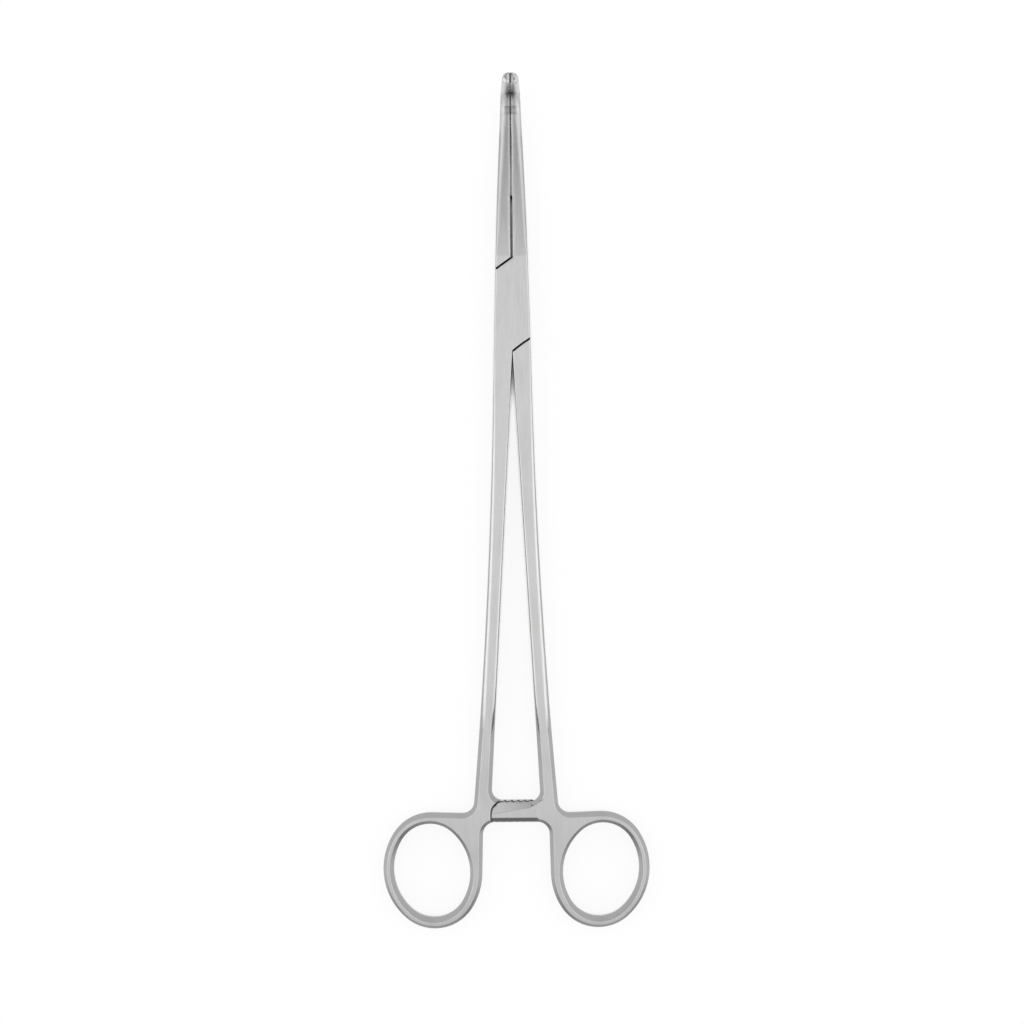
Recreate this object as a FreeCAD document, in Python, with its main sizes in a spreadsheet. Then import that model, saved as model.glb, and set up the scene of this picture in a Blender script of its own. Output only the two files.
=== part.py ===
"""Right angle forceps, 250 mm: two forged halves crossing in a box lock, held by a riveted pin.

The instrument lies on its back on a flat surface, closed on the first ratchet step. All sizes
are in millimetres. The pivot axis is the Z axis, +Y runs to the jaws, +X is the side of the
half whose shank goes through the lock, and +Z is the side to which the jaw tips turn. The
origin is the middle of the lock's back face, on which the instrument rests.
"""
import FreeCAD, Part
import math
import os

import Sketcher

from FreeCAD import Placement, Rotation, Vector

os.makedirs("parts", exist_ok=True)
doc = FreeCAD.newDocument("right_angle_forceps")

# Every size that can be set by itself: a name, its value and what it measures.
SIZES = [
    # Box lock
    ("lock_thickness", 6.0, "front face to back face of the lock"),
    ("lock_half_length", 14.2, "pivot to jaw root, and pivot to shank root"),
    ("lock_jaw_half_width", 4.75, "half the lock's width at the jaw roots"),
    ("lock_shank_half_width", 5.48, "half the lock's width at the shank roots"),
    ("lock_edge_round", 0.45, "rounding of the lock's long edges"),
    ("seam_inset", 0.2, "root of the jaws or shanks to a seam's inner end"),
    ("seam_slant", 3.9, "how much nearer to the pivot a seam's outer end lies than its inner end"),
    ("seam_bow", 0.35, "bow of the shank side seam towards the pivot"),
    ("seam_gap", 0.2, "gap of a seam, along the instrument"),
    ("seam_overrun", 1.0, "how far the cut of the shank side seam runs past the midline"),
    ("seam_bevel", 0.5, "bevel along a seam"),
    ("slot_height", 2.0, "height of the slot between the cheeks of the box"),
    ("slot_half_width", 6.96, "pivot axis to a side wall of the slot"),
    ("slot_angle", 29.0, "turn of the slot's side walls from the instrument's length"),
    ("tongue_play", 0.05, "play between tongue and cheek, each side"),
    ("tongue_side_play", 0.08, "play between tongue and side wall, each side"),
    # Pivot pin
    ("pin_diameter", 3.0, "shank of the pin"),
    ("pin_head", 0.5, "depth and flare of a riveted head"),
    ("pin_play", 0.04, "radial play of the pin in the tongue"),
    # Jaws
    ("jaw_straight_end", 56.8, "pivot to the start of the right-angled bend"),
    ("jaw_bend_radius", 6.2, "radius of the bend, on the jaw's middle line"),
    ("jaw_tip_rise", 11.0, "straight length of jaw beyond the bend"),
    ("jaw_bend_half_width", 3.12, "midline to the jaw's outer side at the bend"),
    ("jaw_tip_half_width", 2.34, "midline to the jaw's outer side at the tip"),
    ("jaw_side_bulge", 0.13, "bulge of the jaw's outer side"),
    ("jaw_bend_thickness", 4.0, "thickness of the jaw at the start of the bend"),
    ("jaw_tip_thickness", 3.45, "thickness of the jaw beyond the bend"),
    ("jaw_lip_round", 0.7, "rounding of the jaw's gripping edges at the bend"),
    ("jaw_tip_lip_round", 0.3, "rounding of the jaw's gripping edges at the tip"),
    ("jaw_top_flat", 0.5, "what the roundings leave flat of the jaw's top at the bend"),
    ("jaw_front_flat", 0.15, "what the roundings leave flat of the jaw's front at the tip"),
    ("jaw_side_flat", 0.15, "what the roundings leave flat of the jaw's outer side"),
    ("jaw_tip_round", 0.6, "rounding of the jaw's end"),
    ("serration_start", 32.1, "pivot to the first grip of the serrations"),
    ("serration_pitch", 1.05, "pitch of the lengthwise serrations"),
    ("serration_depth", 0.46, "depth of the lengthwise serrations"),
    ("serration_land", 0.05, "height ground off the crests of the serrations"),
    ("jaw_gap", 0.2, "gap between the closed serrated faces"),
    ("relief_gap", 0.7, "gap between the relieved faces behind the serrations"),
    # Shanks
    ("shank_thickness", 5.0, "thickness at the ratchet and the ring"),
    ("shank_root_gap", 0.12, "gap between the shanks at the lock"),
    ("shank_inner_foot", 7.35, "midline to a shank's inner side at the ratchet"),
    ("shank_outer_foot", 12.8, "midline to a shank's outer side at its foot"),
    ("shank_foot_drop", 3.95, "upper side of the ratchet to the shank's foot"),
    ("shank_bow", 1.25, "bow of a shank's outer side towards the midline"),
    ("outer_round", 1.45, "rounding of a shank's outer edges"),
    ("inner_round", 0.8, "rounding of a shank's inner edges"),
    ("root_lip_round", 0.12, "rounding of a shank's inner edges at the lock"),
    ("ring_end_length", 18.0, "upper side of the ratchet to the section where the shank meets it"),
    # Finger rings
    ("ring_centre_side", 25.14, "midline to the centre of a ring's hole"),
    ("ring_drop", 20.34, "upper side of the ratchet to the centre of a ring's hole"),
    ("ring_hole_width", 22.6, "short axis of a ring's hole"),
    ("ring_hole_length", 27.95, "long axis of a ring's hole"),
    ("ring_end_radius", 9.75, "radius of the hole at its ends"),
    ("ring_side_wall", 3.35, "wall of a ring at its sides"),
    ("ring_end_wall", 3.3, "wall of a ring at its ends"),
    ("ring_inward", 0.24, "shift of the rim towards the midline"),
    ("ring_lean", 8.2, "lean of a ring's long axis, lower end inwards, in degrees"),
    ("draft_height", 2.0, "height of the sloping part of a forged side, front and back"),
    ("draft_width", 1.1, "how far that slope leads inwards"),
    ("web_drop", 3.63, "upper side of the ratchet to the top of the web, at the shank"),
    ("web_side", 9.8, "midline to the web's inner side, at the ratchet arm"),
    ("web_fillet", 3.55, "fillets between shank, web and arm"),
    # Ratchet
    ("ratchet_reach", 147.8, "pivot to the upper side of the front arm"),
    ("rear_arm_rise", 0.45, "how much nearer to the pivot the rear arm's upper side lies"),
    ("arm_width", 6.1, "upper side to lower side of the front arm"),
    ("arm_tip_side", 7.2, "midline to the tip of a ratchet arm, across the midline"),
    ("arm_tip_slope", 3.6, "width of an arm's upper slope at the tip"),
    ("arm_root_slope", 1.6, "width of an arm's upper slope at the root, and of its lower slope"),
    ("arm_run_out", 3.9, "length over which the slopes run out into the web"),
    ("arm_root_fillet", 3.05, "fillet between shank and arm"),
    ("arm_upper_corner", 3.05, "corner of an arm's tip towards the lock"),
    ("arm_lower_corner", 1.4, "corner of an arm's tip towards the rings"),
    ("arm_clearance", 0.45, "clearance round the tip of the other arm"),
    ("rack_gap", 0.12, "gap between the crests of the two racks"),
    ("tooth_pitch", 2.0, "pitch of the ratchet teeth"),
    ("tooth_depth", 0.7, "depth of the ratchet teeth"),
    ("tooth_land", 0.3, "flat crest of a ratchet tooth"),
    ("tooth_count", 5.0, "gaps cut in each rack"),
]

sheet = doc.addObject("Spreadsheet::Sheet", "sizes")
for row, (alias, value, meaning) in enumerate(SIZES, start=1):
    sheet.set(f"A{row}", alias)
    sheet.set(f"B{row}", str(value))
    sheet.set(f"C{row}", meaning)
    sheet.setAlias(f"B{row}", alias)
doc.recompute()


def size(alias):
    """Return one driving dimension from the sheet."""
    return float(sheet.get(alias))


MIDDLE = size("lock_thickness") / 2  # height of the middle plane of the instrument
PAST = 4 * size("lock_thickness")  # how far a cutter runs past the metal it cuts


def block(x_range, y_range, z_range):
    """Return a rectangular block between pairs of coordinates."""
    low = Vector(x_range[0], y_range[0], z_range[0])
    spans = [pair[1] - pair[0] for pair in (x_range, y_range, z_range)]
    return Part.makeBox(*spans, low)


def prism(points, low, high):
    """Return an upright prism on a plan polygon, between two heights."""
    corners = [Vector(x, y, low) for x, y in points]
    face = Part.Face(Part.makePolygon(corners + corners[:1]))
    return face.extrude(Vector(0, 0, high - low))


def joined(first, *others):
    """Return solids fused into one, without the seams between them."""
    return first.fuse(list(others)).removeSplitter()


def turned_over(solid):
    """Return a solid given half a turn about the instrument's long axis."""
    turned = solid.copy()
    turned.rotate(Vector(0, 0, MIDDLE), Vector(0, 1, 0), 180)
    return turned


def mirrored(solid):
    """Return a solid mirrored across the midline of the instrument."""
    return solid.mirror(Vector(0, 0, 0), Vector(1, 0, 0))


def upright_edge(solid, x, y):
    """Return the upright edge of a prism that stands nearest to a plan point."""
    def distance(edge):
        """Return how far an edge stands from the point."""
        return math.hypot(edge.BoundBox.Center.x - x, edge.BoundBox.Center.y - y)

    uprights = [edge for edge in solid.Edges if edge.BoundBox.ZLength > 0.99 * solid.BoundBox.ZLength]
    return min(uprights, key=distance)


def face_edges(solid, heights, keep):
    """Return the edges that lie at one of the given heights and whose middle passes the test."""
    chosen = []
    for edge in solid.Edges:
        span = edge.LastParameter - edge.FirstParameter
        points = [edge.valueAt(edge.FirstParameter + span * share) for share in (0.0, 0.3, 0.5, 1.0)]
        if any(all(abs(point.z - height) < 1e-4 for point in points) for height in heights):
            if keep(points[2]):
                chosen.append(edge)
    return chosen


def rounded_section(inner, outer, thickness, rounds):
    """Return a rounded rectangle about the height of the middle line, across the X and Z axes.

    It spans from inner to outer across. The roundings are those of its inner edges, of its
    lower outer edge and of its upper outer edge.
    """
    low, high = -thickness / 2, thickness / 2
    sides = []
    corners = [(inner, low, rounds[0], 1, 1), (outer, low, rounds[1], -1, 1),
               (outer, high, rounds[2], -1, -1), (inner, high, rounds[0], 1, -1)]
    bends = []
    for index, (x, z, radius, x_way, z_way) in enumerate(corners):
        across = Vector(x + x_way * radius, 0, z)
        upward = Vector(x, 0, z + z_way * radius)
        start, end = (upward, across) if index % 2 == 0 else (across, upward)
        diagonal = radius * (1 - math.sqrt(0.5))
        middle = Vector(x + x_way * diagonal, 0, z + z_way * diagonal)
        bends.append((start, middle, end))
    for index, (start, middle, end) in enumerate(bends):
        sides.append(Part.Arc(start, middle, end).toShape())
        sides.append(Part.makeLine(end, bends[(index + 1) % 4][0]))
    return Part.Wire(sides)


def blend(start, end, share):
    """Return the value a given share of the way from start to end."""
    return start + (end - start) * share


def smooth_loft(sections):
    """Return a solid through evenly spaced sections."""
    return Part.makeLoft(sections, True, False, False, 3)


# Jaws

BEND_HEIGHT = MIDDLE + size("jaw_bend_radius")  # height of the axis of the right-angled bend


def jaw_rounds(share, turned):
    """Return the roundings of a jaw's gripping edges, lower outer edge and upper outer edge.

    They grow from those of the lock until the jaw is half round at the bend. Round the bend
    the lower edge becomes the front one.
    """
    upper = size("jaw_bend_half_width") - size("jaw_lip_round") - size("jaw_top_flat")
    lower = size("jaw_bend_thickness") - size("jaw_side_flat") - upper
    front = size("jaw_tip_half_width") - size("jaw_tip_lip_round") - size("jaw_front_flat")
    back = size("jaw_tip_thickness") - size("jaw_side_flat") - front
    root = (size("root_lip_round"), size("lock_edge_round"), size("lock_edge_round"))
    bend = (size("jaw_lip_round"), lower, upper)
    tip = (size("jaw_tip_lip_round"), front, back)
    straight = [blend(start, end, share) for start, end in zip(root, bend)]
    return [blend(start, end, turned) for start, end in zip(straight, tip)]


def jaw_station(share, angle, rise, inset=0.0):
    """Return the section of the right-hand jaw at one place along it.

    The place is given by the share of the straight part, the angle turned in the bend and the
    rise beyond the bend. An inset draws the outer sides in, as at the rounded end.
    """
    bend_length = math.radians(90) * size("jaw_bend_radius") + size("jaw_tip_rise")
    past = (math.radians(angle) * size("jaw_bend_radius") + rise) / bend_length
    outer = blend(size("lock_jaw_half_width"), size("jaw_bend_half_width"), share)
    outer += 4 * share * (1 - share) * size("jaw_side_bulge")
    outer = blend(outer, size("jaw_tip_half_width"), past)
    thickness = blend(size("lock_thickness"), size("jaw_bend_thickness"), share)
    thickness = blend(thickness, size("jaw_tip_thickness"), angle / 90)
    rounds = [max(radius - inset, 0.1) for radius in jaw_rounds(share, angle / 90)]
    inner = (size("jaw_gap") - size("serration_depth")) / 2 + size("serration_land")
    wire = rounded_section(inner, outer - inset, thickness - 2 * inset, rounds)
    along = blend(size("lock_half_length"), size("jaw_straight_end"), share)
    wire.translate(Vector(0, along, MIDDLE + rise))
    wire.rotate(Vector(0, size("jaw_straight_end"), BEND_HEIGHT + rise), Vector(1, 0, 0), angle)
    return wire


def serration_profile(gap_side):
    """Return the zigzag face that cuts the right jaw (gap_side 1) or the left jaw (-1).

    It stands across the jaws at the start of the bend. Its crests and grooves lie at even
    steps from the axis of the bend, so that they run on round the bend without a break.
    """
    pitch, depth = size("serration_pitch"), size("serration_depth")
    count = math.ceil(size("lock_thickness") / pitch) + 1
    top = BEND_HEIGHT - size("jaw_bend_radius") + count * pitch / 2
    far = -gap_side * size("lock_jaw_half_width")
    shift = gap_side * size("jaw_gap") / 2
    zigzag = []
    for step in range(2 * count + 1):
        swing = depth / 2 if step % 2 else -depth / 2
        zigzag.append(Vector(swing + shift, size("jaw_straight_end"), top - step * pitch / 2))
    corners = [Vector(far, size("jaw_straight_end"), zigzag[0].z)] + zigzag
    corners.append(Vector(far, size("jaw_straight_end"), zigzag[-1].z))
    return Part.Face(Part.makePolygon(corners + corners[:1]))


def serration_cutters(gap_side):
    """Return the solids that cut the lengthwise serrations of one jaw, from heel to tip."""
    profile = serration_profile(gap_side)
    straight = profile.extrude(Vector(0, size("serration_start") - size("jaw_straight_end"), 0))
    axis_point = Vector(0, size("jaw_straight_end"), BEND_HEIGHT)
    bend = profile.revolve(axis_point, Vector(1, 0, 0), 90)
    flat_profile = profile.copy()
    flat_profile.rotate(axis_point, Vector(1, 0, 0), 90)
    tip = flat_profile.extrude(Vector(0, 0, size("jaw_tip_rise") + PAST))
    relief = block((-PAST, size("relief_gap") / 2), (0, size("serration_start")), (-PAST, PAST))
    if gap_side < 0:
        relief = mirrored(relief)
    return [straight, bend, tip, relief]


def jaw(gap_side):
    """Return one finished jaw from the lock to its tip: right-hand 1, left-hand -1."""
    straight = smooth_loft([jaw_station(step / 4, 0, 0) for step in range(5)])
    bend = smooth_loft([jaw_station(1, 15 * step, 0) for step in range(7)])
    radius, rise = size("jaw_tip_round"), size("jaw_tip_rise") - size("jaw_tip_round")
    tip_sections = [jaw_station(1, 90, 0)]
    for angle in (0, 30, 60, 85):
        along, inset = radius * math.sin(math.radians(angle)), radius * (1 - math.cos(math.radians(angle)))
        tip_sections.append(jaw_station(1, 90, rise + along, inset))
    blank = straight.fuse([bend, Part.makeLoft(tip_sections, True, True)])
    if gap_side < 0:
        blank = mirrored(blank)
    return blank.cut(serration_cutters(gap_side))


# Shanks, rings and ratchet arms, drawn for the right-hand half with its arm in front

LOW = MIDDLE - size("shank_thickness") / 2
HIGH = MIDDLE + size("shank_thickness") / 2
RATCHET = size("ratchet_reach")
ARM_LOWER = RATCHET + size("arm_width")
JOIN = RATCHET - size("ring_end_length")
FOOT = RATCHET + size("shank_foot_drop")
RING_CENTRE = Vector(size("ring_centre_side"), -RATCHET - size("ring_drop"), 0)
RIM_CENTRE = RING_CENTRE - Vector(size("ring_inward"), 0, 0)
HOLE = (size("ring_hole_width") / 2, size("ring_hole_length") / 2, size("ring_end_radius"))
RIM = (HOLE[0] + size("ring_side_wall"), HOLE[1] + size("ring_end_wall"), HOLE[2] + size("ring_end_wall"))


def shank_inner(reach):
    """Return how far from the midline a shank's inner side lies."""
    share = (reach - size("lock_half_length")) / (RATCHET - size("lock_half_length"))
    return blend(size("shank_root_gap") / 2, size("shank_inner_foot"), share)


def shank_outer(reach):
    """Return how far from the midline a shank's outer side lies, on its bowed line."""
    start, end = size("lock_half_length"), FOOT
    middle = (size("lock_shank_half_width") + size("shank_outer_foot")) / 2 - size("shank_bow")
    sweep = Part.Circle(Vector(size("lock_shank_half_width"), start, 0),
                        Vector(middle, (start + end) / 2, 0), Vector(size("shank_outer_foot"), end, 0))
    return sweep.Center.x - math.sqrt(sweep.Radius ** 2 - (reach - sweep.Center.y) ** 2)


def shank_section(reach):
    """Return the rounded section of the right-hand shank at a distance from the pivot."""
    share = (reach - size("lock_half_length")) / (JOIN - size("lock_half_length"))
    thickness = blend(size("lock_thickness"), size("shank_thickness"), share)
    grown = math.sin(share * math.pi / 2)
    inner_round = blend(size("root_lip_round"), size("inner_round"), grown)
    outer_round = blend(size("lock_edge_round"), size("outer_round"), grown)
    wire = rounded_section(shank_inner(reach), shank_outer(reach), thickness,
                           (inner_round, outer_round, outer_round))
    wire.translate(Vector(0, -reach, MIDDLE))
    return wire


def shank(lower_end):
    """Return the right-hand shank, from the lock to the cut face of the given ring end."""
    cut_face = max(lower_end.Faces, key=lambda face: face.CenterOfMass.y)
    sections = [shank_section(blend(size("lock_half_length"), JOIN, step / 6)) for step in range(6)]
    return smooth_loft(sections + [cut_face.OuterWire])


def oval(centre, half_width, half_length, end_radius, height):
    """Return the outline of a leaning ring, of two side arcs and two end arcs."""
    reach = half_length - end_radius
    side_radius = (half_width ** 2 + reach ** 2 - end_radius ** 2) / (2 * (half_width - end_radius))
    turn = math.degrees(math.atan2(reach, side_radius - half_width))
    upward = Vector(0, 0, 1)
    offset = side_radius - half_width
    wire = Part.Wire([Part.makeCircle(side_radius, Vector(-offset, 0, 0), upward, -turn, turn),
                      Part.makeCircle(end_radius, Vector(0, reach, 0), upward, turn, 180 - turn),
                      Part.makeCircle(side_radius, Vector(offset, 0, 0), upward, 180 - turn, 180 + turn),
                      Part.makeCircle(end_radius, Vector(0, -reach, 0), upward, 180 + turn, 360 - turn)])
    wire.rotate(Vector(0, 0, 0), upward, -size("ring_lean"))
    wire.translate(centre + Vector(0, 0, height))
    return wire


def touching_point(point, arc, side):
    """Return where the tangent from a plan point touches an arc, on the chosen side of it."""
    away = point - arc.Center
    angle = math.atan2(away.y, away.x) + side * math.acos(arc.Radius / math.hypot(away.x, away.y))
    return arc.Center + Vector(arc.Radius * math.cos(angle), arc.Radius * math.sin(angle), 0)


def arm_plan(upper_reach, grow, low, high):
    """Return a prism on the plan of a right-hand arm, grown all round by a clearance."""
    tip = -size("arm_tip_side") - grow
    upper, lower = -upper_reach + grow, -ARM_LOWER - grow
    solid = block((tip, size("web_side") + size("draft_width") * 1.5), (lower, upper), (low, high))
    solid = solid.makeFillet(size("arm_upper_corner") + grow, [upright_edge(solid, tip, upper)])
    return solid.makeFillet(size("arm_lower_corner") + grow, [upright_edge(solid, tip, lower)])


def arm_waste(upper_reach):
    """Return what stands past the tip of an arm left too long, round its upright corners."""
    tip, corner = -size("arm_tip_side"), size("arm_upper_corner")
    around = block((tip - 3 * size("draft_width"), tip + corner), (-ARM_LOWER - 1, -upper_reach + 1),
                   (-PAST, PAST))
    return around.cut(arm_plan(upper_reach, 0, -PAST, PAST))


def foot_plan():
    """Return a slab, one unit high, on the plan of the shank's lower end."""
    top = JOIN - size("draft_width")
    places = [Vector(shank_outer(reach), -reach, 0) for reach in (top, (top + FOOT) / 2, FOOT)]
    inner = [Vector(shank_inner(reach), -reach, 0) for reach in (FOOT, top)]
    outline = [Part.Arc(*places).toShape(), Part.makeLine(places[2], inner[0]),
               Part.makeLine(inner[0], inner[1]), Part.makeLine(inner[1], places[0])]
    return Part.Face(Part.Wire(outline)).extrude(Vector(0, 0, 1))


def web_plan():
    """Return a slab, one unit high, on the plan of the web between shank, arm and ring."""
    corner = Vector(size("web_side"), -RATCHET - size("web_drop"), 0)
    inner_corner = corner - Vector(0, size("draft_width"), 0)
    arcs = [edge.Curve for edge in oval(RIM_CENTRE, *RIM, 0).Edges]
    side_arc = max(arcs, key=lambda arc: arc.Center.x)
    end_arc = max(arcs, key=lambda arc: arc.Center.y)
    points = [corner, touching_point(corner, end_arc, -1), RIM_CENTRE,
              touching_point(inner_corner, side_arc, 1), inner_corner]
    return prism([(point.x, point.y) for point in points], 0, 1)


def lower_plan(upper_reach):
    """Return the filleted outline of the lower end, with its arm left too long, on the floor."""
    rim = Part.Face(oval(RIM_CENTRE, *RIM, 0)).extrude(Vector(0, 0, 1))
    arm = block((-size("arm_tip_side") - 2 * size("draft_width"), size("web_side") + 2 * size("draft_width")),
                (-ARM_LOWER, -upper_reach), (0, 1))
    slab = joined(rim, web_plan(), foot_plan(), arm)
    corners = [(size("arm_root_fillet"), shank_inner(upper_reach), -upper_reach),
               (size("web_fillet"), size("shank_outer_foot"), -RATCHET - size("web_drop")),
               (size("web_fillet"), size("web_side"), -ARM_LOWER)]
    for radius, x, y in corners:
        slab = slab.makeFillet(radius, [upright_edge(slab, x, y)])
    return min(slab.Faces, key=lambda face: face.CenterOfMass.z).OuterWire


def raised(wire, height):
    """Return a wire moved up to a height."""
    moved = wire.copy()
    moved.translate(Vector(0, 0, height))
    return moved


def ring_end(upper_reach):
    """Return the lower end of the right-hand half: shank foot, web, ring and full-height arm."""
    slope, draft = size("draft_height"), size("draft_width")
    outline = lower_plan(upper_reach)
    land = outline.makeOffset2D(-draft)
    blank = Part.makeLoft([raised(land, LOW), raised(outline, LOW + slope), raised(outline, HIGH - slope),
                           raised(land, HIGH)], True, True)
    mouth = [length + draft for length in HOLE]
    hole = Part.makeLoft([oval(RING_CENTRE, *mouth, LOW), oval(RING_CENTRE, *HOLE, LOW + slope),
                          oval(RING_CENTRE, *HOLE, HIGH - slope), oval(RING_CENTRE, *mouth, HIGH)],
                         True, True)
    above = block((-PAST, PAST), (-JOIN, -JOIN + PAST), (-PAST, PAST))
    return blank.cut([hole, above, arm_waste(upper_reach)])


def slope_section(x, edge, outward, width):
    """Return the outline across an arm that removes all above one slope of its edge."""
    base = MIDDLE + size("rack_gap") / 2 + size("tooth_depth") * 1.1
    rise = (HIGH - base) * (1 + 1 / width)
    corners = [Vector(x, edge, base), Vector(x, edge - outward * (width + 1), base + rise),
               Vector(x, edge + outward, base + rise), Vector(x, edge + outward, base)]
    return Part.makePolygon(corners + corners[:1])


def arm_slopes(upper_reach):
    """Return the cutters that slope both long sides of the front arm, above its teeth.

    Each has a straight part along the arm and a part that runs out to a point in the web.
    """
    start, root, run_out = -size("arm_tip_side") - 1, size("arm_root_slope"), size("arm_run_out")
    upper_end = shank_inner(upper_reach) - size("arm_root_fillet")
    lower_end = size("web_side") - size("web_fillet")
    cutters = []
    for edge, outward, tip, end, aslant in ((-upper_reach, 1, size("arm_tip_slope"), upper_end, root / 2),
                                            (-ARM_LOWER, -1, root, lower_end, root)):
        across = slope_section(end, edge, outward, root)
        point = Part.Vertex(end + run_out, edge + outward * aslant, HIGH + 0.01)
        cutters.append(Part.makeLoft([slope_section(start, edge, outward, tip), across], True, True))
        cutters.append(Part.makeLoft([across, point], True, True))
    return cutters


def tooth_gaps(upper_reach):
    """Return the saw-toothed gaps of the right-hand rack, cut up into its arm.

    The steep face of each tooth looks back to its own shank, so that the two racks hook.
    """
    pitch, count = size("tooth_pitch"), round(size("tooth_count"))
    base = MIDDLE + size("rack_gap") / 2
    first = -pitch * count / 2
    gaps = []
    for index in range(count):
        start = first + index * pitch
        corners = [Vector(start, 0, base - 1), Vector(start, 0, base + size("tooth_depth")),
                   Vector(start + pitch - size("tooth_land"), 0, base),
                   Vector(start + pitch - size("tooth_land"), 0, base - 1)]
        face = Part.Face(Part.makePolygon(corners + corners[:1]))
        face.translate(Vector(0, -ARM_LOWER - 1, 0))
        gaps.append(face.extrude(Vector(0, ARM_LOWER - upper_reach + 2, 0)))
    return gaps


def handle(upper_reach, other_upper_reach):
    """Return the right-hand shank, ring and front arm, milled out for the rear arm."""
    lower_end = ring_end(upper_reach)
    way = mirrored(arm_plan(other_upper_reach, size("arm_clearance"), -PAST, MIDDLE + size("rack_gap") / 2))
    whole = joined(lower_end, shank(lower_end))
    return whole.cut([way] + tooth_gaps(upper_reach) + arm_slopes(upper_reach))


# Box lock

SEAM_SIDE = size("lock_shank_half_width")
BESIDE = size("lock_shank_half_width") * 1.2  # a line safely outside the lock


def lock_block():
    """Return the whole lock, shut and in one piece, with its long edges rounded."""
    sections = []
    for reach, half_width in ((-size("lock_half_length"), size("lock_shank_half_width")),
                              (size("lock_half_length"), size("lock_jaw_half_width"))):
        wire = rounded_section(-half_width, half_width, size("lock_thickness"),
                               [size("lock_edge_round")] * 3)
        wire.translate(Vector(0, reach, MIDDLE))
        sections.append(wire)
    return Part.makeLoft(sections, True, True)


def seam_height(side):
    """Return how far up the jaw side seam lies at a place across the lock, on its middle line."""
    return size("lock_half_length") - size("seam_inset") + size("seam_slant") / SEAM_SIDE * side


def jaw_seam(shift):
    """Return the straight seam's two ends, from left of the lock to the gap of the jaws."""
    right = size("relief_gap") / 2
    return [Vector(-BESIDE, seam_height(-BESIDE) + shift, 0), Vector(right, seam_height(right) + shift, 0)]


def shank_seam(shift):
    """Return the bowed seam's arc, from the gap of the shanks to right of the lock."""
    first = -size("seam_overrun")
    places = (first, (first + BESIDE) / 2, BESIDE)
    start, middle, end = [Vector(x, -seam_height(-x) + shift, 0) for x in places]
    return Part.Arc(start, middle + Vector(0, size("seam_bow"), 0), end).toShape()


def seam_region(seam, others):
    """Return the upright prism between a bowed seam and the polygon that closes it."""
    corners = [seam.valueAt(seam.LastParameter)] + others + [seam.valueAt(seam.FirstParameter)]
    edges = [seam] + [Part.makeLine(a, b) for a, b in zip(corners, corners[1:])]
    return Part.Face(Part.Wire(Part.__sortEdges__(edges))).extrude(Vector(0, 0, size("lock_thickness")))


def bevelled(region, middle):
    """Return a share of the lock with its seam bevelled in both faces, found by its middle."""
    def is_seam(point):
        """Tell whether an edge's middle lies over the seam's middle."""
        return math.hypot(point.x - middle.x, point.y - middle.y) < size("seam_bow") * 3

    seam = face_edges(region, (0, size("lock_thickness")), is_seam)
    return region.makeChamfer(size("seam_bevel"), seam)


def box_share():
    """Return the female half's share of the lock: all between the seams, and the left shank's root."""
    half, shift, height = size("lock_half_length"), size("seam_gap") / 2, size("lock_thickness")
    outer, inner = jaw_seam(-shift)
    seam = shank_seam(shift)
    foot = seam.valueAt(seam.FirstParameter).y
    region = seam_region(seam, [Vector(BESIDE, half, 0), Vector(inner.x, half, 0), inner, outer,
                                Vector(-BESIDE, foot, 0)])
    region = bevelled(region, (outer + inner) / 2)
    root = block((-BESIDE, -size("shank_root_gap") / 2), (-half, 0), (0, height))
    return lock_block().common(region.fuse(root))


def slot_band(play, z_low, z_high):
    """Return the slanting band through the lock in which the tongue turns, less a play."""
    half_width = size("slot_half_width") - play
    band = block((-half_width, half_width), (-PAST, PAST), (z_low, z_high))
    band.rotate(Vector(0, 0, 0), Vector(0, 0, 1), size("slot_angle"))
    return band.common(block((-PAST, PAST), (-size("lock_half_length"), size("lock_half_length")),
                             (z_low, z_high)))


def female_forging():
    """Return the half with the box: right jaw, cheeks, left shank, rear arm and left ring."""
    lower = turned_over(handle(RATCHET - size("rear_arm_rise"), RATCHET))
    return joined(box_share(), jaw(1), lower)


def jaw_shoulder():
    """Return the male half's share of the lock beside the jaws, above the straight seam."""
    half = size("lock_half_length")
    shift, relief = size("seam_gap") / 2, -size("relief_gap") / 2
    region = prism([(-BESIDE, seam_height(-BESIDE) + shift), (relief, seam_height(relief) + shift),
                    (relief, half), (-BESIDE, half)], 0, size("lock_thickness"))
    return lock_block().common(region)


def shank_shoulder():
    """Return the male half's share of the lock beside the shanks, below the bowed seam."""
    half, height = size("lock_half_length"), size("lock_thickness")
    seam = shank_seam(-size("seam_gap") / 2)
    region = seam_region(seam, [Vector(BESIDE, -half - PAST, 0), Vector(-BESIDE, -half - PAST, 0)])
    region = bevelled(region, seam.valueAt((seam.FirstParameter + seam.LastParameter) / 2))
    inside = block((-BESIDE, size("shank_root_gap") / 2), (-half, 0), (0, height))
    return lock_block().common(region).cut(inside)


def tongue():
    """Return the tongue that runs through the slot of the box and joins both shoulders."""
    cheek = (size("lock_thickness") - size("slot_height")) / 2 + size("tongue_play")
    return lock_block().common(slot_band(size("tongue_side_play"), cheek, size("lock_thickness") - cheek))


def male_forging():
    """Return the half with the tongue: left jaw, tongue, right shank, front arm and right ring."""
    lower = handle(RATCHET, RATCHET - size("rear_arm_rise"))
    return joined(tongue(), jaw_shoulder(), shank_shoulder(), jaw(-1), lower)


def forging(name, shape):
    """Add one forged half to the document."""
    blank = doc.addObject("Part::Feature", name)
    blank.Shape = shape
    blank.Placement = Placement(Vector(0, 0, 0), Rotation())
    return blank


def bind(feature, formulas):
    """Tie properties of a feature to cells of the sheet."""
    for target, formula in formulas.items():
        feature.setExpression(target, formula)
    return feature


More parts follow.
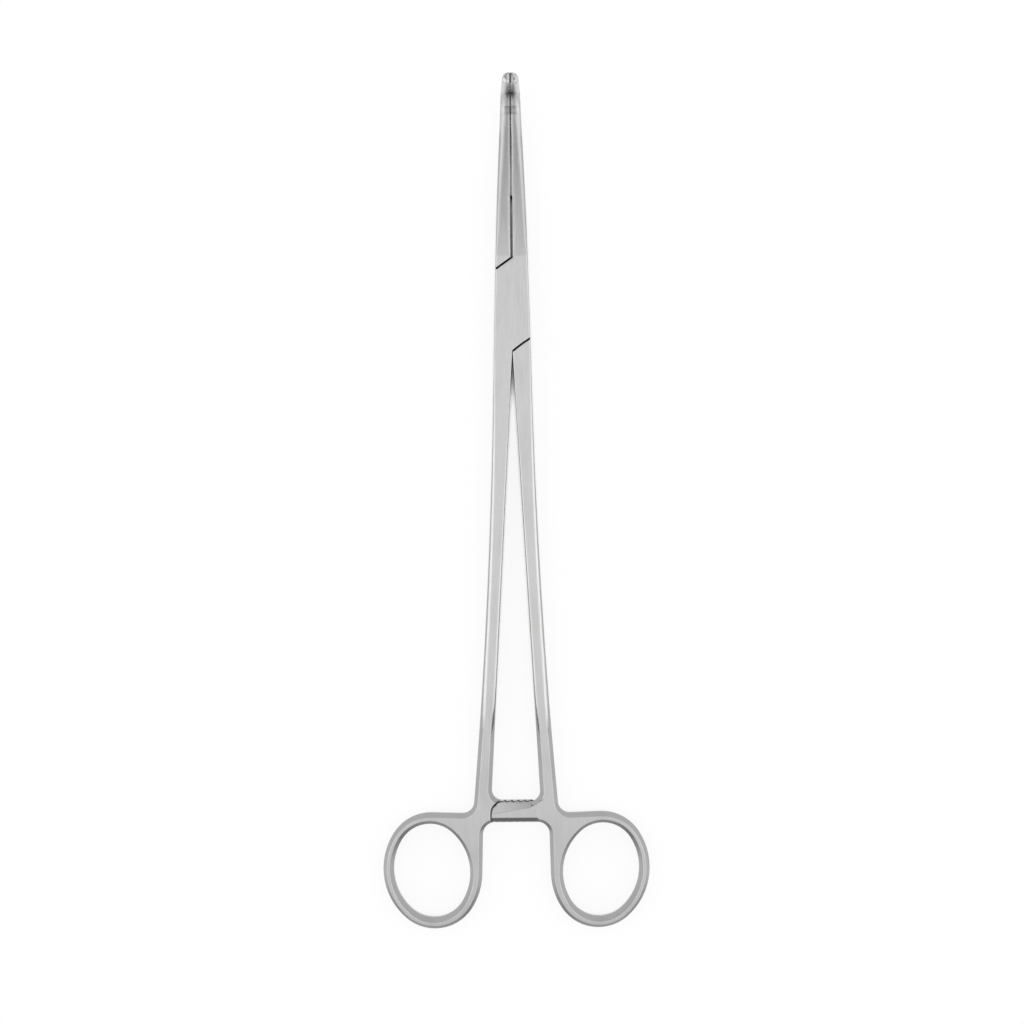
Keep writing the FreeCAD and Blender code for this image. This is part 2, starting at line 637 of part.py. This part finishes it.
def bore(name, radius):
    """Add the cylinder that drills the pin's hole through the whole lock."""
    drill = doc.addObject("Part::Cylinder", name)
    return bind(drill, {"Radius": radius, "Height": "sizes.lock_thickness + 2",
                        "Placement.Base.z": "-1"})


def countersink(name, base, small_first):
    """Add a cone that opens the hole for one riveted head."""
    cone = doc.addObject("Part::Cone", name)
    narrow, wide = "sizes.pin_diameter / 2", "sizes.pin_diameter / 2 + sizes.pin_head"
    radii = (narrow, wide) if small_first else (wide, narrow)
    return bind(cone, {"Radius1": radii[0], "Radius2": radii[1], "Height": "sizes.pin_head",
                       "Placement.Base.z": base})


def milled(name, base, tools):
    """Add the finished half: a forging with the given tools' shapes taken away."""
    together = doc.addObject("Part::MultiFuse", f"{name}_tools")
    together.Shapes = tools
    finished = doc.addObject("Part::Cut", name)
    finished.Base = base
    finished.Tool = together
    finished.Label = name
    return finished


slot = forging("box_slot", slot_band(0, (size("lock_thickness") - size("slot_height")) / 2,
                                     (size("lock_thickness") + size("slot_height")) / 2))
female_half = milled("female_half", forging("female_forging", female_forging()),
                     [slot, bore("cheek_bore", "sizes.pin_diameter / 2"),
                      countersink("back_countersink", "0", False),
                      countersink("front_countersink", "sizes.lock_thickness - sizes.pin_head", True)])
male_half = doc.addObject("Part::Cut", "male_half")
male_half.Base = forging("male_forging", male_forging())
male_half.Tool = bore("tongue_bore", "sizes.pin_diameter / 2 + sizes.pin_play")
male_half.Label = "male_half"


def origin_plane(body, role):
    """Return one of a body's own origin planes or axes."""
    return next(feature for feature in body.Origin.OriginFeatures if feature.Role == role)


def add_pin():
    """Add the pin: a half section turned about the pivot axis, with both heads riveted flush."""
    body = doc.addObject("PartDesign::Body", "pivot_pin")
    body.Label = "pivot_pin"
    sketch = body.newObject("Sketcher::SketchObject", "pin_section")
    sketch.AttachmentSupport = [(origin_plane(body, "XZ_Plane"), "")]
    sketch.MapMode = "FlatFace"
    radius, flare, top = size("pin_diameter") / 2, size("pin_head"), size("lock_thickness")
    corners = [(0, 0), (radius + flare, 0), (radius, flare), (radius, top - flare), (radius + flare, top),
               (0, top)]
    across = ["0", "sizes.pin_diameter / 2 + sizes.pin_head", "sizes.pin_diameter / 2",
              "sizes.pin_diameter / 2", "sizes.pin_diameter / 2 + sizes.pin_head", "0"]
    up = ["0", "0", "sizes.pin_head", "sizes.lock_thickness - sizes.pin_head", "sizes.lock_thickness",
          "sizes.lock_thickness"]
    for index, (x, y) in enumerate(corners):
        next_x, next_y = corners[(index + 1) % len(corners)]
        sketch.addGeometry(Part.LineSegment(Vector(x, y, 0), Vector(next_x, next_y, 0)), False)
    for index in range(len(corners)):
        sketch.addConstraint(Sketcher.Constraint("Coincident", index, 2, (index + 1) % len(corners), 1))
    for index, (x, y) in enumerate(corners):
        for kind, value, formula in (("DistanceX", x, across[index]), ("DistanceY", y, up[index])):
            number = sketch.addConstraint(Sketcher.Constraint(kind, -1, 1, index, 1, value))
            sketch.setExpression(f"Constraints[{number}]", formula)
    turning = body.newObject("PartDesign::Revolution", "pin_turning")
    turning.Profile = sketch
    turning.ReferenceAxis = (sketch, ["V_Axis"])
    turning.Angle = 360
    return body


pivot_pin = add_pin()
doc.recompute()

for item in doc.Objects:
    if "Invalid" in item.State or "Error" in item.State:
        raise RuntimeError(f"{item.Name} failed: {item.State}")
for node in (female_half, male_half, pivot_pin):
    if node.Shape.isNull() or not node.Shape.isValid():
        raise RuntimeError(f"{node.Label} has no sound shape")
    print(node.Label, len(node.Shape.Solids), "solid", round(node.Shape.Volume, 1), "mm3")
    node.Shape.exportStep(f"parts/{node.Label}.step")
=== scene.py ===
"""Looks of the right angle forceps: finishes for its three solids, the studio and the camera.

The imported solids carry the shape. This script gives them satin steel, lays the instrument on a
plain pale floor under soft light, and looks straight down on it. All lengths are in metres, in
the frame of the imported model: +Y to the jaws, +X to the photograph's right, +Z up to the side to
which the jaw tips turn.
"""
import logging
import math
from dataclasses import dataclass, field
from enum import Enum
from typing import NamedTuple

import bmesh
import bpy
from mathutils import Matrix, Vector


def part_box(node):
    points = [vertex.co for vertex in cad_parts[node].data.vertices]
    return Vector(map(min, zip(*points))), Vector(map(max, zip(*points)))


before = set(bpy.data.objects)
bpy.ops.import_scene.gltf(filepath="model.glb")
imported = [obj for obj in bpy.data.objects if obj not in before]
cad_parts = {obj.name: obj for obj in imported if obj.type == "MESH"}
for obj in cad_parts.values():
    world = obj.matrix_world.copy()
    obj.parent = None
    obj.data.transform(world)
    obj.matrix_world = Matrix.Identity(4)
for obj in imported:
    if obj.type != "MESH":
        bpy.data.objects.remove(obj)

MILLIMETRE = 0.001
WHITE = (1.0, 1.0, 1.0, 1.0)
Colour = tuple[float, float, float]
Grains = tuple[float, float, float]
Share = "Signal | float"
log = logging.getLogger("right_angle_forceps")


class Side(Enum):
    """A side of the instrument, with its direction along X."""

    LEFT = -1.0
    RIGHT = 1.0


class Blend(Enum):
    """What a Mix node mixes: its data type, its first input of that type and its output."""

    VECTOR = ("VECTOR", 4, 1)
    COLOUR = ("RGBA", 6, 2)


class Ramp(NamedTuple):
    """A smooth step from one value to another.

    Attributes:
        low: Where the step begins.
        high: Where the step ends.
        start: The value at and below low.
        end: The value at and above high.
    """

    low: float
    high: float
    start: float = 0.0
    end: float = 1.0

    def scaled(self, unit: float) -> "Ramp":
        """Give the same step with its ends in another unit.

        Args:
            unit: The length of the unit that this step's ends are in.

        Returns:
            The step with its ends in metres.
        """
        return self._replace(low=self.low * unit, high=self.high * unit)

    def squared(self) -> "Ramp":
        """Give the step for a signal that carries squared distances.

        Returns:
            The step between the squares of its ends.
        """
        return self._replace(low=self.low ** 2, high=self.high ** 2)


class Signal:
    """A number carried by a shader socket, with arithmetic that adds Math nodes."""

    def __init__(self, net: "ShaderNet", socket: bpy.types.NodeSocket) -> None:
        """Wrap a socket.

        Args:
            net: The shader net that the socket belongs to.
            socket: The output socket that gives the number.
        """
        self.net = net
        self.socket = socket

    def _with(self, operation: str, first: Share, second: Share) -> "Signal":
        """Join two numbers by one Math node.

        Args:
            operation: The Math node's operation.
            first: The first number or signal.
            second: The second number or signal.

        Returns:
            The signal of the result.
        """
        return self.net.signal("ShaderNodeMath", {"operation": operation}, {0: first, 1: second})

    def __add__(self, other: Share) -> "Signal":
        """Add."""
        return self._with("ADD", self, other)

    def __radd__(self, other: float) -> "Signal":
        """Add to a plain number."""
        return self._with("ADD", other, self)

    def __sub__(self, other: Share) -> "Signal":
        """Take away."""
        return self._with("SUBTRACT", self, other)

    def __rsub__(self, other: float) -> "Signal":
        """Take away from a plain number."""
        return self._with("SUBTRACT", other, self)

    def __mul__(self, other: Share) -> "Signal":
        """Multiply."""
        return self._with("MULTIPLY", self, other)

    def above(self, other: Share) -> "Signal":
        """Give the larger of two numbers."""
        return self._with("MAXIMUM", self, other)

    def ramped(self, ramp: Ramp) -> "Signal":
        """Put this number through a smooth step.

        Args:
            ramp: The step.

        Returns:
            The signal of the result.
        """
        return self.net.signal("ShaderNodeMapRange", {"interpolation_type": "SMOOTHSTEP"},
                               {"Value": self, "From Min": ramp.low, "From Max": ramp.high,
                                "To Min": ramp.start, "To Max": ramp.end}, "Result")


class ShaderNet:
    """The nodes of one material or world, added one at a time."""

    def __init__(self, tree: bpy.types.NodeTree) -> None:
        """Empty a node tree and take it over.

        Args:
            tree: The node tree to fill.
        """
        self.tree = tree
        tree.nodes.clear()

    def node(self, kind: str, settings: dict[str, object],
             inputs: dict[object, object]) -> bpy.types.Node:
        """Add one node.

        Args:
            kind: The node's Blender type.
            settings: The node's own settings, set before its sockets.
            inputs: The value or link of each named or numbered input socket.

        Returns:
            The new node.
        """
        made = self.tree.nodes.new(kind)
        for name, value in settings.items():
            setattr(made, name, value)
        for key, value in inputs.items():
            if isinstance(value, Signal):
                value = value.socket
            if isinstance(value, bpy.types.NodeSocket):
                self.tree.links.new(value, made.inputs[key])
            else:
                made.inputs[key].default_value = value
        return made

    def signal(self, kind: str, settings: dict[str, object], inputs: dict[object, object],
               output: str | int = 0) -> Signal:
        """Add one node and wrap one of its outputs.

        Args:
            kind: The node's Blender type.
            settings: The node's own settings.
            inputs: The value or link of each input socket.
            output: The name or number of the output to wrap.

        Returns:
            The output as a signal.
        """
        return Signal(self, self.node(kind, settings, inputs).outputs[output])

    def axes(self, coordinate: str) -> tuple[Signal, Signal, Signal]:
        """Give a texture coordinate as three signals.

        Args:
            coordinate: The Texture Coordinate output to split.

        Returns:
            The signals of X, Y and Z.
        """
        where = self.node("ShaderNodeTexCoord", {}, {})
        split = self.node("ShaderNodeSeparateXYZ", {}, {0: where.outputs[coordinate]})
        return tuple(Signal(self, split.outputs[axis]) for axis in "XYZ")

    def noise(self, grains: Grains, detail: float, rough: float = 0.5) -> Signal:
        """Give noise over the object, from 0 to 1.

        Args:
            grains: How many grains go into a metre, along X, Y and Z.
            detail: How many finer layers lie on the noise.
            rough: How strong each finer layer is.

        Returns:
            The noise as a signal.
        """
        where = self.node("ShaderNodeTexCoord", {}, {})
        place = self.node("ShaderNodeMapping", {"vector_type": "POINT"},
                          {"Vector": where.outputs["Object"], "Scale": grains})
        return self.signal("ShaderNodeTexNoise", {"noise_dimensions": "3D"},
                           {"Vector": place.outputs["Vector"], "Scale": 1.0, "Detail": detail,
                            "Roughness": rough}, "Fac")

    def open_share(self, reach: float) -> Signal:
        """Give how open each place is, from 0 in a deep gap to 1 in the open.

        Args:
            reach: How far away a surface still shuts a place in.

        Returns:
            The open share as a signal.
        """
        return self.signal("ShaderNodeAmbientOcclusion", {"samples": 8}, {"Distance": reach}, "AO")

    def mix(self, blend: Blend, share: Signal, first: object,
            second: object) -> bpy.types.NodeSocket:
        """Mix two colours or two vectors.

        Args:
            blend: What is mixed.
            share: How much of the second one there is.
            first: The first colour or vector, or its socket.
            second: The second colour or vector, or its socket.

        Returns:
            The socket of the mix.
        """
        kind, place, output = blend.value
        made = self.node("ShaderNodeMix", {"data_type": kind, "clamp_factor": True},
                         {0: share, place: first, place + 1: second})
        return made.outputs[output]


def with_alpha(colour: Colour) -> tuple[float, float, float, float]:
    """Give a colour an alpha of 1.

    Args:
        colour: The colour.

    Returns:
        The colour with its alpha.
    """
    return (*colour, 1.0)


@dataclass(frozen=True)
class SteelPatterns:
    """What the colour, the roughness and the relief of one steel share.

    Attributes:
        lines: The grinding lines, from 0 to 1.
        cloud: The clouds of the film, from 0 to 1.
        closed: How much painted shade each place gets for being shut in, from 0 in the open to its
            most in a joint.
        across: The square of the distance from the middle plane.
        along: The place along the instrument, from the pin to the jaws.
        height: The height over the floor.
    """

    lines: Signal
    cloud: Signal
    closed: Signal
    across: Signal
    along: Signal
    height: Signal


@dataclass(frozen=True)
class SatinSteel:
    """Satin stainless steel with fine grinding lines, painted shade in its joints, on its steep
    sides and in the jaws' bend, and a painted highlight on the jaws' ends.

    Attributes:
        name: The material's name.
        colour: The colour of the clean metal.
        film_colour: The colour of the thin film on parts of it.
        line_colour: The colour of the darker grinding lines.
        tip_highlight_colour: The colour of the painted highlight on the jaws' ends.
        side_shade_colour: The colour of the painted shade on the steep sides that face the rings.
        smudge_and_shade_colour: The colour of the painted shade in the joints, gaps and the jaws'
            bend, and of the smudges on the jaws' ends.
        line_grains: How many grinding lines go into a metre, along X, Y and Z.
        cloud_grains: How many clouds of the film go into a metre.
        smudge_grains: How many smudges on the jaws' ends go into a metre.
        pit_grains: How many of the finest pits go into a metre.
        film: How much film the clouds carry.
        line_tint: How much a grinding line darkens the metal.
        smudge: How dark a smudge makes the steel.
        joint_reach: How far away steel still shuts a place in.
        joint: How much painted shade lies in an open share: the black in a gap.
        corner: The same for the thinner painted shade beside it.
        side: How much painted shade a slope gets, over the square of the normal's height.
        side_turn: How that painted shade grows as a slope turns to the rings.
        side_end: Where along the jaws the painted shade on the sides ends.
        tip: At which heights the jaws' ends begin.
        tip_gap: How much painted shade lies on the ends beside the gap, in metres from it.
        bend_near: Where along the jaws the painted shade in their bend begins.
        bend_far: Where it ends.
        bend_across: How strong that painted shade is, in metres from the middle plane.
        edge_round: The radius of a ground edge.
        jaw_round: The radius that blends the jaws' slopes.
        jaw_start: Where along the jaws that radius sets in.
        pin_round: Where round the pin, which is ground flush, the edges turn round.
        roughness: The mean roughness of the flats.
        line_rough: How much the grinding lines change the roughness.
        cloud_rough: How much the film's clouds change it.
        joint_rough: How much rougher the steel is where it is shut in.
        line_relief: The grinding lines' share of the relief; the pits have the rest.
        relief_depth: The depth of the relief.
        relief_strength: How strongly the relief bends the light.
    """

    name: str
    colour: Colour = (0.54, 0.54, 0.538)
    film_colour: Colour = (0.49, 0.488, 0.484)
    line_colour: Colour = (0.40, 0.40, 0.40)
    # Painted highlight: the jaws' ends are coloured lighter than the steel.
    tip_highlight_colour: Colour = (0.62, 0.62, 0.62)
    # Painted shade on the steep sides that face the rings.
    side_shade_colour: Colour = (0.06, 0.06, 0.06)
    # Painted shade in joints, gaps and the jaws' bend; also random smudges.
    smudge_and_shade_colour: Colour = (0.05, 0.05, 0.05)
    line_grains: Grains = (6250.0, 187.5, 6250.0)
    cloud_grains: Grains = (180.0, 60.0, 180.0)
    smudge_grains: Grains = (1100.0, 1100.0, 1100.0)
    pit_grains: Grains = (9000.0, 9000.0, 9000.0)
    film: Ramp = Ramp(0.45, 0.75, 0.0, 0.7)
    line_tint: Ramp = Ramp(0.35, 0.75, 0.0, 0.3)
    smudge: Ramp = Ramp(0.5, 0.68, 0.0, 0.6)
    joint_reach: float = 0.65 * MILLIMETRE
    # Painted shade in joints and gaps, set by how shut in a place is.
    joint: Ramp = Ramp(0.30, 0.62, 0.92, 0.0)
    corner: Ramp = Ramp(0.65, 0.95, 0.35, 0.0)
    # Painted shade on the steep sides, strongest where they face the rings.
    side: Ramp = Ramp(0.46, 0.86, 0.9, 0.0)
    side_turn: Ramp = Ramp(0.0, 0.6, 0.32, 1.0)
    side_end: Ramp = Ramp(48.0, 54.0, 1.0, 0.0).scaled(MILLIMETRE)
    tip: Ramp = Ramp(20.1, 20.16).scaled(MILLIMETRE)
    # Painted shade on the jaws' ends beside the gap.
    tip_gap: Ramp = Ramp(0.0, 0.45, 0.75, 0.0).scaled(MILLIMETRE)
    # Painted shade in the jaws' bend.
    bend_near: Ramp = Ramp(55.8, 56.8).scaled(MILLIMETRE)
    bend_far: Ramp = Ramp(58.5, 59.0, 1.0, 0.0).scaled(MILLIMETRE)
    bend_across: Ramp = Ramp(1.08, 2.4, 0.5, 0.0).scaled(MILLIMETRE)
    edge_round: float = 0.4 * MILLIMETRE
    jaw_round: float = 1.5 * MILLIMETRE
    jaw_start: Ramp = Ramp(10.0, 24.0).scaled(MILLIMETRE)
    pin_round: Ramp = Ramp(2.6, 3.6).scaled(MILLIMETRE)
    roughness: float = 0.18
    line_rough: float = 0.12
    cloud_rough: float = 0.10
    joint_rough: float = 0.3
    line_relief: float = 0.7
    relief_depth: float = 0.004 * MILLIMETRE
    relief_strength: float = 0.35

    def material(self) -> bpy.types.Material:
        """Build the material.

        Returns:
            The finished material.
        """
        made = bpy.data.materials.new(self.name)
        made.use_nodes = True
        net = ShaderNet(made.node_tree)
        patterns = self._patterns(net)
        metal = net.node("ShaderNodeBsdfPrincipled", {},
                         {"Base Color": self._coloured(net, patterns), "Metallic": 1.0,
                          "Roughness": self._roughened(patterns),
                          "Normal": self._relief(net, patterns)})
        net.node("ShaderNodeOutputMaterial", {}, {"Surface": metal.outputs["BSDF"]})
        return made

    def _patterns(self, net: ShaderNet) -> SteelPatterns:
        """Add what the steel's colour, roughness and relief share.

        Args:
            net: The material's nodes.

        Returns:
            The shared signals.
        """
        shade = net.open_share(self.joint_reach)
        across, along, height = net.axes("Object")
        return SteelPatterns(lines=net.noise(self.line_grains, 3.0, 0.65),
                             cloud=net.noise(self.cloud_grains, 3.0),
                             # Painted shade in joints and gaps.
                             closed=shade.ramped(self.joint).above(shade.ramped(self.corner)),
                             across=across * across, along=along, height=height)

    def _coloured(self, net: ShaderNet, patterns: SteelPatterns) -> bpy.types.NodeSocket:
        """Add the steel's colour: film, lines, a painted highlight on the ends, painted shade on the
        steep sides, and painted shade in the joints with smudges, over each other.

        Args:
            net: The material's nodes.
            patterns: The shared signals.

        Returns:
            The socket of the colour.
        """
        tip = patterns.height.ramped(self.tip)
        coats = [(patterns.cloud.ramped(self.film), self.film_colour),
                 (patterns.lines.ramped(self.line_tint), self.line_colour),
                 # Painted highlight on the jaws' ends.
                 (tip, self.tip_highlight_colour),
                 # Painted shade on the steep sides that face the rings.
                 (self._shaded_sides(net, patterns), self.side_shade_colour),
                 # Painted shade in joints and gaps, on the ends beside the gap and in the bend, with
                 # random smudges.
                 (patterns.closed.above(self._smudges_and_shade(net, patterns, tip)), self.smudge_and_shade_colour)]
        coloured = with_alpha(self.colour)
        for share, colour in coats:
            coloured = net.mix(Blend.COLOUR, share, coloured, with_alpha(colour))
        return coloured

    def _shaded_sides(self, net: ShaderNet, patterns: SteelPatterns) -> Signal:
        """Add the painted shade on the steep sides.

        Args:
            net: The material's nodes.
            patterns: The shared signals.

        Returns:
            How much painted shade the steel gets, from 0 on the flats to its most on the steep
            sides.
        """
        _, forward, upward = net.axes("Normal")
        # Painted shade: steep slopes are coloured darker, most where they face the rings.
        steep = (upward * upward).ramped(self.side)
        return steep * (forward * -1.0).ramped(self.side_turn) * patterns.along.ramped(self.side_end)

    def _smudges_and_shade(self, net: ShaderNet, patterns: SteelPatterns, tip: Signal) -> Signal:
        """Add the painted shade on the jaws' ends beside the gap, the random smudges there, and the
        painted shade in their bend.

        Args:
            net: The material's nodes.
            patterns: The shared signals.
            tip: Where the ends are, from 0 off them to 1 on them.

        Returns:
            How dark the painted shade and the smudges are, from 0 to 1.
        """
        smudge = net.noise(self.smudge_grains, 2.0).ramped(self.smudge)
        # Painted shade on the ends beside the gap, with random smudges.
        ends = tip * patterns.across.ramped(self.tip_gap.squared()).above(smudge)
        # Painted shade in the jaws' bend.
        bend = patterns.along.ramped(self.bend_near) * patterns.along.ramped(self.bend_far)
        return ends.above(bend * patterns.across.ramped(self.bend_across.squared()))

    def _roughened(self, patterns: SteelPatterns) -> Signal:
        """Add the steel's roughness.

        Args:
            patterns: The shared signals.

        Returns:
            The roughness.
        """
        lines = (patterns.lines - 0.5) * self.line_rough
        return self.roughness + lines + (patterns.cloud - 0.5) * self.cloud_rough \
            + patterns.closed * self.joint_rough

    def _relief(self, net: ShaderNet, patterns: SteelPatterns) -> bpy.types.NodeSocket:
        """Add the relief of lines and pits on softly rounded edges.

        Args:
            net: The material's nodes.
            patterns: The shared signals.

        Returns:
            The socket of the normal.
        """
        flat = net.node("ShaderNodeNewGeometry", {}, {})
        edges, jaws = (net.node("ShaderNodeBevel", {"samples": 4}, {"Radius": radius})
                       for radius in (self.edge_round, self.jaw_round))
        from_pin = patterns.across + patterns.along * patterns.along
        facing = net.mix(Blend.VECTOR, from_pin.ramped(self.pin_round.squared()),
                         flat.outputs["Normal"], edges.outputs["Normal"])
        facing = net.mix(Blend.VECTOR, patterns.along.ramped(self.jaw_start),
                         facing, jaws.outputs["Normal"])
        pits = net.noise(self.pit_grains, 2.0) * (1.0 - self.line_relief)
        bump = net.node("ShaderNodeBump", {},
                        {"Strength": self.relief_strength, "Distance": self.relief_depth,
                         "Height": patterns.lines * self.line_relief + pits, "Normal": facing})
        return bump.outputs["Normal"]


@dataclass
class Forceps:
    """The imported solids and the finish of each.

    Attributes:
        forging: The steel of the two halves.
        pin: The steel of the pin.
    """

    forging: SatinSteel = field(default_factory=lambda: SatinSteel("satin_forging_steel"))
    pin: SatinSteel = field(default_factory=lambda: SatinSteel("ground_pin_steel"))

    def dress(self) -> None:
        """Give every solid its finish."""
        forging = self.forging.material()
        self._coat("female_half", forging)
        self._coat("male_half", forging)
        self._coat("pivot_pin", self.pin.material())

    def _coat(self, node: str, material: bpy.types.Material) -> None:
        """Put a material into every slot of one solid, and log the solid.

        Args:
            node: The solid's name.
            material: The material.
        """
        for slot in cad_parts[node].material_slots:
            slot.material = material
        low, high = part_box(node)
        log.info("%s: %s, %.1f mm long", node, material.name, (high - low).y / MILLIMETRE)


@dataclass
class Studio:
    """The floor, the lamps and the room round the instrument.

    Attributes:
        floor_colour: The floor's colour.
        floor_span: The length of the floor's side.
        white_share: How much of the open floor shows as plain white.
        shade_reach: How far away the instrument still shades the floor.
        shade: How much of that white an open share of the floor keeps.
        lamp_span: The sides of a soft lamp.
        lamp_place: How far to the side, forward and up a lamp hangs.
        lamp_power: The power of a lamp in watts.
        overhead: The room's light from straight above.
        beside: The room's light from both sides.
        ahead: The room's light from above and beyond the jaws.
        behind: The room's light from above and beyond the rings.
        side_rise: How the light from the sides sets in, over the square of X.
        side_cover: How much of the dimmer light ahead and behind the sides cover.
        ahead_rise: How the dimmer light ahead sets in, over Y.
        ahead_fall: How much of it stays further down.
        behind_rise: How the dimmer light behind sets in, over -Y.
    """

    floor_colour: Colour = (0.92, 0.92, 0.92)
    floor_span: float = 6.0
    white_share: float = 0.88
    shade_reach: float = 1.6 * MILLIMETRE
    shade: Ramp = Ramp(0.43, 0.6)
    lamp_span: tuple[float, float] = (0.5, 1.0)
    lamp_place: tuple[float, float, float] = (1.2, -0.02, 0.75)
    lamp_power: float = 0.5
    overhead: float = 1.16
    beside: float = 1.45
    ahead: float = 0.4
    behind: float = 0.6
    side_rise: Ramp = Ramp(0.012, 0.3)
    side_cover: float = 0.85
    ahead_rise: Ramp = Ramp(0.22, 0.255)
    ahead_fall: Ramp = Ramp(0.35, 0.6, 1.0, 0.2)
    behind_rise: Ramp = Ramp(0.05, 0.5)

    def build(self) -> None:
        """Build the floor, the lamps and the world."""
        self._floor()
        for side in Side:
            self._lamp(side)
        self._room()

    def _floor(self) -> None:
        """Lay the floor under the lowest point of the instrument."""
        mesh = bpy.data.meshes.new("floor")
        sheet = bmesh.new()
        bmesh.ops.create_grid(sheet, x_segments=1, y_segments=1, size=self.floor_span / 2)
        height = min(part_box(node)[0].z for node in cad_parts)
        bmesh.ops.translate(sheet, verts=sheet.verts, vec=Vector((0.0, 0.0, height)))
        sheet.to_mesh(mesh)
        sheet.free()
        mesh.materials.append(self._floor_material())
        floor = bpy.data.objects.new("floor", mesh)
        bpy.context.scene.collection.objects.link(floor)

    def _floor_material(self) -> bpy.types.Material:
        """Build the floor's material: pale, white to see in the open, shaded in narrow gaps.

        Returns:
            The finished material.
        """
        material = bpy.data.materials.new("pale_floor")
        material.use_nodes = True
        net = ShaderNet(material.node_tree)
        matte = net.node("ShaderNodeBsdfDiffuse", {}, {"Color": with_alpha(self.floor_colour)})
        glow = net.node("ShaderNodeEmission", {}, {"Color": WHITE, "Strength": 1.0})
        rays = net.node("ShaderNodeLightPath", {}, {})
        camera, glossy, through = (Signal(net, rays.outputs[f"Is {kind} Ray"])
                                   for kind in ("Camera", "Glossy", "Transmission"))
        seen = camera.above(glossy).above(through) * self.white_share
        share = seen * net.open_share(self.shade_reach).ramped(self.shade)
        both = net.node("ShaderNodeMixShader", {},
                        {0: share, 1: matte.outputs[0], 2: glow.outputs[0]})
        net.node("ShaderNodeOutputMaterial", {}, {"Surface": both.outputs[0]})
        return material

    def _lamp(self, side: Side) -> None:
        """Hang one soft lamp beside the instrument, turned towards it.

        Args:
            side: The lamp's side.
        """
        light = bpy.data.lights.new(f"soft_lamp_{side.name.lower()}", "AREA")
        light.shape = "RECTANGLE"
        light.size, light.size_y = self.lamp_span
        light.energy = self.lamp_power
        lamp = bpy.data.objects.new(light.name, light)
        bpy.context.scene.collection.objects.link(lamp)
        away, forward, up = self.lamp_place
        lamp.location = (side.value * away, forward, up)
        aim = Vector((0.0, forward, 0.0)) - lamp.location
        lamp.rotation_euler = aim.to_track_quat("-Z", "Y").to_euler()

    def _room(self) -> None:
        """Light the room softly: bright above and beside, dimmer ahead and behind, white to see."""
        world = bpy.data.worlds.new("soft_room")
        bpy.context.scene.world = world
        world.use_nodes = True
        net = ShaderNet(world.node_tree)
        across, along, _ = net.axes("Generated")
        sides = (across * across).ramped(self.side_rise)
        ahead = along.ramped(self.ahead_rise) * along.ramped(self.ahead_fall)
        behind = (along * -1.0).ramped(self.behind_rise)
        dimmer = ahead * (self.overhead - self.ahead) + behind * (self.overhead - self.behind)
        bright = self.overhead + sides * (self.beside - self.overhead)
        level = bright - dimmer * (1.0 - sides * self.side_cover)
        rays = net.node("ShaderNodeLightPath", {}, {})
        camera = Signal(net, rays.outputs["Is Camera Ray"])
        glow = net.node("ShaderNodeBackground", {},
                        {"Color": WHITE, "Strength": level + camera * (1.0 - level)})
        net.node("ShaderNodeOutputWorld", {}, {"Surface": glow.outputs[0]})


@dataclass
class PhotoCamera:
    """The camera that looks straight down on the instrument, as the photograph does.

    Attributes:
        place: Where over the floor the camera stands, along X and Y.
        height: How high the camera stands.
        roll: How far the instrument leans in the picture, tips to the left.
        view_span: The width of what the picture shows: 1024 pixels of 0.29785 mm.
        plane: The height of the plane that view_span is measured on.
        sensor: The width of the camera's sensor in millimetres.
        clip: The nearest and the farthest place that the camera sees.
    """

    place: tuple[float, float] = (-0.0005, -0.06166)
    height: float = 0.478
    roll: float = math.atan(0.0082)
    view_span: float = 1024 * 0.29785 * MILLIMETRE
    plane: float = 0.003
    sensor: float = 36.0
    clip: tuple[float, float] = (0.05, 20.0)

    def build(self) -> None:
        """Create the camera and make it the scene's own."""
        lens = bpy.data.cameras.new("photo_camera")
        lens.sensor_width = self.sensor
        lens.lens = self.sensor * (self.height - self.plane) / self.view_span
        lens.clip_start, lens.clip_end = self.clip
        camera = bpy.data.objects.new("photo_camera", lens)
        camera.location = (*self.place, self.height)
        camera.rotation_euler = (0.0, 0.0, -self.roll)
        bpy.context.scene.collection.objects.link(camera)
        bpy.context.scene.camera = camera


def main() -> None:
    """Dress the instrument, build the studio and set the camera."""
    logging.basicConfig(level=logging.INFO, format="%(name)s: %(message)s")
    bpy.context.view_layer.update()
    bpy.context.scene.view_settings.view_transform = "Standard"
    Forceps().dress()
    Studio().build()
    PhotoCamera().build()


if __name__ == "__main__":
    main()
